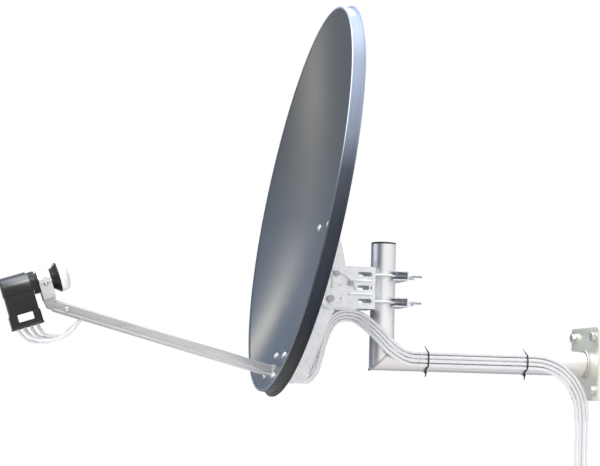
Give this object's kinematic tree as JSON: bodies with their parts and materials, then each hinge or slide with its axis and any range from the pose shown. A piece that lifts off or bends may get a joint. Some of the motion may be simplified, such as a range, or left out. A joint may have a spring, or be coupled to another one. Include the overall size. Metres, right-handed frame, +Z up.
{
  "type": "satellite dish",
  "caption": "Offset satellite dish with a multi-output LNB on a channel feed arm, clamped to the mast of a welded tube wall bracket, with white coax cables.",
  "frame": {"origin": "centre of the wall plate's back face, on the axis of the horizontal tube", "axes": "+Z up, +Y into the wall (out of the plate's back face), the dish faces -Y; +X is to the right when facing the wall"},
  "size_m": [0.722, 1.269, 0.9422],
  "materials": {
    "plate_metal": "polished, slightly scratched",
    "tube_metal": "satin brushed along the tube",
    "weld": "rippled bead",
    "black_plastic": "fine grain",
    "tie_plastic": "ribbed nylon",
    "seal_rubber": "smooth",
    "fastener_zinc": "bright zinc plated",
    "galvanised": "galvanised, faint spangle",
    "arm_zinc": "zinc, satin with drawn streaks",
    "jaw_steel": "dark plated pressed steel",
    "cable_jacket": "smooth white sheath, faint grime",
    "reflector_paint": "graphite semi-gloss powder coat",
    "lnb_plastic": "fine grain moulded",
    "cap_plastic": "thin translucent white",
    "horn_metal": "die-cast",
    "board": "solder-masked board",
    "port_metal": "nickel plated",
    "plug_metal": "nickel plated",
    "label_white": "blank sticker"
  },
  "bodies": {
    "wall": {"wall_plate": "plate_metal", "plate_weld": "weld", "arm_tube": "tube_metal", "mitre_weld": "weld", "mast_tube": "tube_metal", "mast_cap": "black_plastic", "wall_bolts": "fastener_zinc", "wall_washers": "fastener_zinc", "cable_ties": "tie_plastic", "wall_cables": "cable_jacket"},
    "mount": {"mount_bracket": "galvanised", "clamp_rods": "fastener_zinc", "pivot_bolt": "fastener_zinc", "pivot_washers": "fastener_zinc", "pivot_nut": "fastener_zinc", "mast_loop_cables": "cable_jacket"},
    "jaw_upper": {"jaw_upper": "jaw_steel", "jaw_nuts_upper": "fastener_zinc"},
    "jaw_lower": {"jaw_lower": "jaw_steel", "jaw_nuts_lower": "fastener_zinc"},
    "dish": {"backbone": "galvanised", "reflector": "reflector_paint", "reflector_bolts": "fastener_zinc", "reflector_nuts": "fastener_zinc", "lock_bolts": "fastener_zinc", "lock_washers": "fastener_zinc", "lock_nuts": "fastener_zinc", "arm_socket": "arm_zinc", "socket_screws": "fastener_zinc", "feed_arm": "arm_zinc", "arm_screws": "fastener_zinc", "arm_cables": "cable_jacket", "rear_loop_cables": "cable_jacket", "lnb_holder": "arm_zinc", "holder_screws": "fastener_zinc", "clamp_cap": "arm_zinc", "clamp_screws": "fastener_zinc", "clamp_nuts": "fastener_zinc", "lnb_loop_cables": "cable_jacket"},
    "lnb": {"lnb_body": "lnb_plastic", "lnb_hood": "lnb_plastic", "feed_cap": "cap_plastic", "cap_ring": "seal_rubber", "feed_horn": "horn_metal", "lnb_board": "board", "f_ports": "port_metal", "f_plugs": "plug_metal"},
    "cover": {"connector_cover": "lnb_plastic", "cover_label": "label_white"}
  },
  "joints": [
    {"name": "azimuth", "type": "hinge", "parent": "wall", "child": "mount", "pos_m": [0, -0.44, 0.138], "axis": [0, 0, 1], "range_deg": [-45, 45], "deforming": ["mast_loop_cables"]},
    {"name": "elevation", "type": "hinge", "parent": "mount", "child": "dish", "pos_m": [0, -0.557, 0.114], "axis": [1, 0, 0], "range_deg": [-13, 13], "deforming": ["rear_loop_cables"]},
    {"name": "skew", "type": "hinge", "parent": "dish", "child": "lnb", "pos_m": [0, -1.1195, 0.1283], "axis": [0, 0.9483, 0.3173], "range_deg": [-30, 30], "deforming": ["lnb_loop_cables"]},
    {"name": "cover_slide", "type": "slide", "parent": "lnb", "child": "cover", "axis": [0, -0.3173, 0.9483], "range_m": [0, 0.023]},
    {"name": "jaw_upper_slide", "type": "slide", "parent": "mount", "child": "jaw_upper", "axis": [0, 1, 0], "range_m": [0, 0.012]},
    {"name": "jaw_lower_slide", "type": "slide", "parent": "mount", "child": "jaw_lower", "axis": [0, 1, 0], "range_m": [0, 0.012]}
  ]
}
